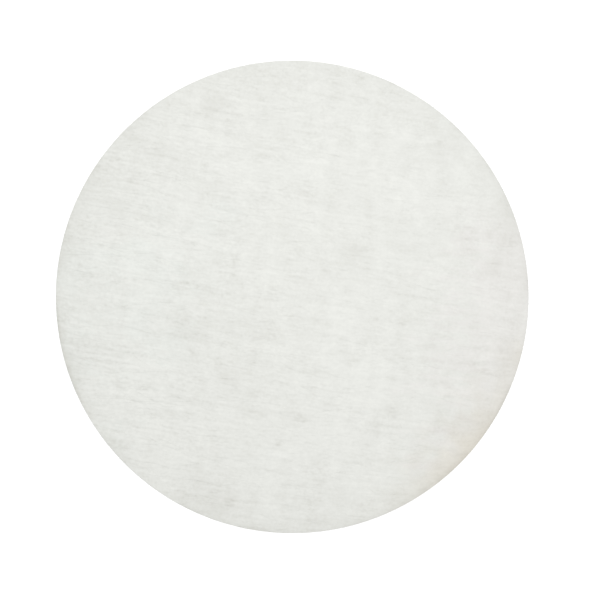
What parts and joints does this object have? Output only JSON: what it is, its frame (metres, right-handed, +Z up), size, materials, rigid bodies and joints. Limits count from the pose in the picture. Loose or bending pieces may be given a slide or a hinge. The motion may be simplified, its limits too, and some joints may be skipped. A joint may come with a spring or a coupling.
{
  "type": "filter paper disc",
  "caption": "Flat round disc of pale off-white filter web, die-cut, that lies in a funnel or filter holder to strain a liquid.",
  "frame": {"origin": "centre of the underside, where the disc rests", "axes": "+Z up through the sheet, from the underside to the top face; +X roughly along the fibres, +Y across them"},
  "size_m": [0.11, 0.11, 0.0004],
  "materials": {
    "filter_web": "matte"
  },
  "bodies": {
    "root": {"filter_disc": "filter_web"}
  },
  "joints": []
}
